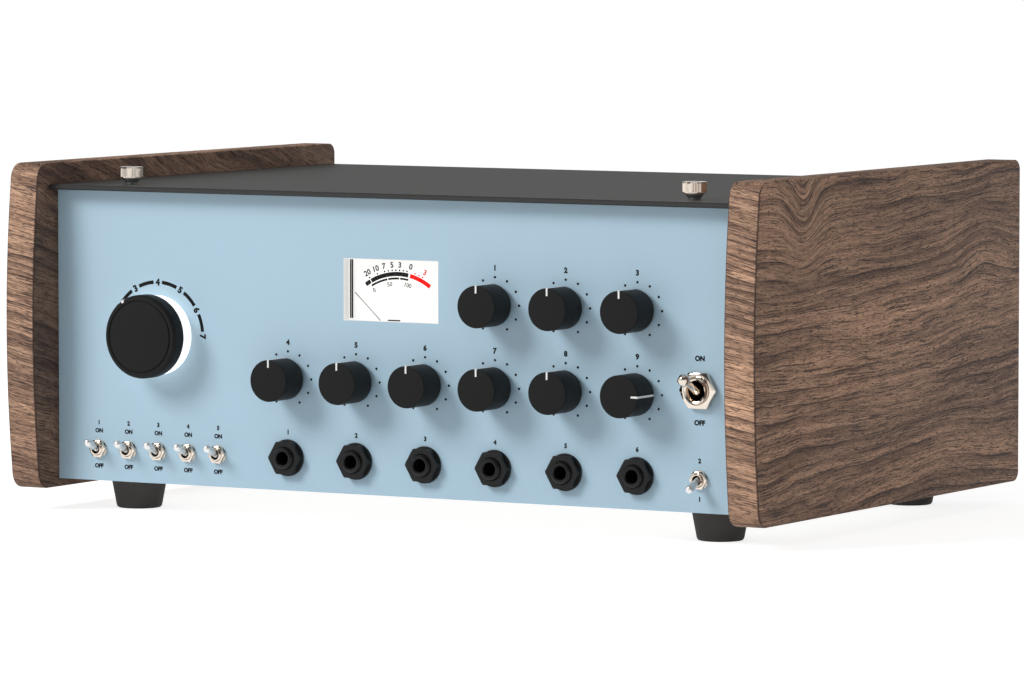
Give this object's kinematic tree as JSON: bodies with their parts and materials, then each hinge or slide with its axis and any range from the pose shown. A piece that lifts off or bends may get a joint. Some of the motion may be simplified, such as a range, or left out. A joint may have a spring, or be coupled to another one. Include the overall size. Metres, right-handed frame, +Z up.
{
  "type": "tape echo unit",
  "caption": "Table-top tape echo unit: painted control panel with knobs, jacks, toggles and a lit meter between wooden cheeks, lift-off cover, tape loop deck inside.",
  "frame": {"origin": "floor level under the feet, under the middle of the bounding box", "axes": "+X to the unit's right as seen from the front, +Y to the rear, +Z up; the control panel faces -Y"},
  "size_m": [0.41, 0.2828, 0.1695],
  "materials": {
    "walnut": "oiled satin walnut",
    "blue_paint": "matte pale blue powder coat",
    "zinc_plated_steel": "plain zinc-plated sheet",
    "charcoal_paint": "matte charcoal powder coat",
    "nickel": "bright nickel plate",
    "black_rubber": "matte",
    "black_knob_plastic": "matte",
    "lit_white_plastic": "translucent, lit from behind",
    "jack_nylon": "matte moulded nylon",
    "meter_white_plastic": "matte, lit from behind",
    "clear_plastic": "clear and glossy",
    "needle_black": "matte black",
    "circuit_board": "green solder resist",
    "tape_film": "satin brown oxide film",
    "turned_brass": "fine turned",
    "motor_steel": "satin"
  },
  "bodies": {
    "chassis": {"left_cheek": "walnut", "right_cheek": "walnut", "front_panel": "blue_paint", "chassis_tray": "zinc_plated_steel", "rear_panel": "charcoal_paint", "power_switch_body": "nickel", "direct_switch_body": "nickel", "motor_switch_body": "nickel", "sound_on_sound_switch_body": "nickel", "echo_switch_body": "nickel", "chorus_switch_body": "nickel", "output_level_switch_body": "nickel", "foot_front_left": "black_rubber", "foot_front_right": "black_rubber", "foot_rear_left": "black_rubber", "foot_rear_right": "black_rubber", "mode_collar": "lit_white_plastic", "input_jack": "jack_nylon", "speed_remote_jack": "jack_nylon", "feedback_remote_jack": "jack_nylon", "chorus_footswitch_jack": "jack_nylon", "echo_footswitch_jack": "jack_nylon", "output_jack": "jack_nylon", "meter_case": "meter_white_plastic", "meter_lens": "clear_plastic", "control_board": "circuit_board", "main_board": "circuit_board", "tape_deck_plate": "zinc_plated_steel", "tape_loop": "tape_film", "motor": "motor_steel", "drive_belt": "black_rubber", "head_block": "motor_steel", "transformer": "motor_steel", "reverb_tank": "zinc_plated_steel", "mains_inlet": "jack_nylon"},
    "bass_knob": {"bass_knob": "black_knob_plastic"},
    "treble_knob": {"treble_knob": "black_knob_plastic"},
    "feedback_knob": {"feedback_knob": "black_knob_plastic"},
    "input_volume_knob": {"input_volume_knob": "black_knob_plastic"},
    "chorus_rate_knob": {"chorus_rate_knob": "black_knob_plastic"},
    "chorus_depth_knob": {"chorus_depth_knob": "black_knob_plastic"},
    "reverb_volume_knob": {"reverb_volume_knob": "black_knob_plastic"},
    "speed_knob": {"speed_knob": "black_knob_plastic"},
    "echo_volume_knob": {"echo_volume_knob": "black_knob_plastic"},
    "mode_knob": {"mode_knob": "black_knob_plastic"},
    "direct_switch_lever": {"direct_switch_lever": "nickel"},
    "motor_switch_lever": {"motor_switch_lever": "nickel"},
    "sound_on_sound_switch_lever": {"sound_on_sound_switch_lever": "nickel"},
    "echo_switch_lever": {"echo_switch_lever": "nickel"},
    "chorus_switch_lever": {"chorus_switch_lever": "nickel"},
    "output_level_switch_lever": {"output_level_switch_lever": "nickel"},
    "power_switch_lever": {"power_switch_lever": "nickel"},
    "meter_needle": {"meter_needle": "needle_black"},
    "top_cover": {"top_cover": "charcoal_paint"},
    "thumbscrew_left": {"thumbscrew_left": "nickel"},
    "thumbscrew_right": {"thumbscrew_right": "nickel"},
    "capstan_flywheel": {"capstan_flywheel": "turned_brass"},
    "motor_pulley": {"motor_pulley": "turned_brass"},
    "pinch_arm": {"pinch_arm": "motor_steel"},
    "pinch_roller": {"pinch_roller": "black_rubber"}
  },
  "joints": [
    {"name": "bass_knob_turn", "type": "hinge", "parent": "chassis", "child": "bass_knob", "pos_m": [0.0565, -0.11965, 0.108], "axis": [0, 1, 0], "range_deg": [-150, 150]},
    {"name": "treble_knob_turn", "type": "hinge", "parent": "chassis", "child": "treble_knob", "pos_m": [0.0945, -0.11965, 0.108], "axis": [0, 1, 0], "range_deg": [-150, 150]},
    {"name": "feedback_knob_turn", "type": "hinge", "parent": "chassis", "child": "feedback_knob", "pos_m": [0.1325, -0.11965, 0.108], "axis": [0, 1, 0], "range_deg": [-150, 150]},
    {"name": "input_volume_knob_turn", "type": "hinge", "parent": "chassis", "child": "input_volume_knob", "pos_m": [-0.0575, -0.11965, 0.069], "axis": [0, 1, 0], "range_deg": [-150, 150]},
    {"name": "chorus_rate_knob_turn", "type": "hinge", "parent": "chassis", "child": "chorus_rate_knob", "pos_m": [-0.0195, -0.11965, 0.069], "axis": [0, 1, 0], "range_deg": [-150, 150]},
    {"name": "chorus_depth_knob_turn", "type": "hinge", "parent": "chassis", "child": "chorus_depth_knob", "pos_m": [0.0185, -0.11965, 0.069], "axis": [0, 1, 0], "range_deg": [-150, 150]},
    {"name": "reverb_volume_knob_turn", "type": "hinge", "parent": "chassis", "child": "reverb_volume_knob", "pos_m": [0.0565, -0.11965, 0.069], "axis": [0, 1, 0], "range_deg": [-150, 150]},
    {"name": "speed_knob_turn", "type": "hinge", "parent": "chassis", "child": "speed_knob", "pos_m": [0.0945, -0.11965, 0.069], "axis": [0, 1, 0], "range_deg": [-150, 150]},
    {"name": "echo_volume_knob_turn", "type": "hinge", "parent": "chassis", "child": "echo_volume_knob", "pos_m": [0.1325, -0.11965, 0.069], "axis": [0, 1, 0], "range_deg": [-240, 60]},
    {"name": "mode_knob_turn", "type": "hinge", "parent": "chassis", "child": "mode_knob", "pos_m": [-0.1312, -0.11965, 0.0873], "axis": [0, 1, 0], "range_deg": [-60, 120]},
    {"name": "direct_switch_throw", "type": "hinge", "parent": "chassis", "child": "direct_switch_lever", "pos_m": [-0.1654, -0.12175, 0.0308], "axis": [1, 0, 0], "range_deg": [0, 48]},
    {"name": "motor_switch_throw", "type": "hinge", "parent": "chassis", "child": "motor_switch_lever", "pos_m": [-0.1483, -0.12175, 0.0308], "axis": [1, 0, 0], "range_deg": [0, 48]},
    {"name": "sound_on_sound_switch_throw", "type": "hinge", "parent": "chassis", "child": "sound_on_sound_switch_lever", "pos_m": [-0.1312, -0.12175, 0.0308], "axis": [1, 0, 0], "range_deg": [0, 48]},
    {"name": "echo_switch_throw", "type": "hinge", "parent": "chassis", "child": "echo_switch_lever", "pos_m": [-0.1141, -0.12175, 0.0308], "axis": [1, 0, 0], "range_deg": [0, 48]},
    {"name": "chorus_switch_throw", "type": "hinge", "parent": "chassis", "child": "chorus_switch_lever", "pos_m": [-0.097, -0.12175, 0.0308], "axis": [1, 0, 0], "range_deg": [0, 48]},
    {"name": "output_level_switch_throw", "type": "hinge", "parent": "chassis", "child": "output_level_switch_lever", "pos_m": [0.1653, -0.12175, 0.0305], "axis": [1, 0, 0], "range_deg": [-48, 0]},
    {"name": "power_switch_throw", "type": "hinge", "parent": "chassis", "child": "power_switch_lever", "pos_m": [0.1653, -0.12245, 0.072], "axis": [1, 0, 0], "range_deg": [0, 48]},
    {"name": "meter_needle_swing", "type": "hinge", "parent": "chassis", "child": "meter_needle", "pos_m": [-0.0003, -0.11365, 0.0894], "axis": [0, 1, 0], "range_deg": [0, 88], "stiffness_Nm_per_rad": 0.0005},
    {"name": "top_cover_lift", "type": "slide", "parent": "chassis", "child": "top_cover", "axis": [0, 0, 1], "range_m": [0, 0.08]},
    {"name": "thumbscrew_left_turn", "type": "hinge", "parent": "top_cover", "child": "thumbscrew_left", "pos_m": [-0.155, -0.10595, 0.1592], "axis": [0, 0, 1], "range_deg": [0, 1080]},
    {"name": "thumbscrew_right_turn", "type": "hinge", "parent": "top_cover", "child": "thumbscrew_right", "pos_m": [0.155, -0.10595, 0.1592], "axis": [0, 0, 1], "range_deg": [0, 1080]},
    {"name": "capstan_spin", "type": "hinge", "parent": "chassis", "child": "capstan_flywheel", "pos_m": [0.118, -0.0426, 0.0955], "axis": [0, 0, 1], "continuous": true},
    {"name": "motor_pulley_spin", "type": "hinge", "parent": "chassis", "child": "motor_pulley", "pos_m": [0.046, -0.03365, 0.0955], "axis": [0, 0, 1], "continuous": true},
    {"name": "pinch_arm_swing", "type": "hinge", "parent": "chassis", "child": "pinch_arm", "pos_m": [0.15, -0.06165, 0.1123], "axis": [0, 0, 1], "range_deg": [0, 12], "stiffness_Nm_per_rad": 0.02},
    {"name": "pinch_roller_spin", "type": "hinge", "parent": "pinch_arm", "child": "pinch_roller", "pos_m": [0.118, -0.0552, 0.1186], "axis": [0, 0, 1], "continuous": true}
  ],
  "couplings": [
    {"joint": "motor_pulley_spin", "follows": "capstan_spin", "ratio": 4.4932},
    {"joint": "pinch_roller_spin", "follows": "capstan_spin", "ratio": -0.2778}
  ]
}
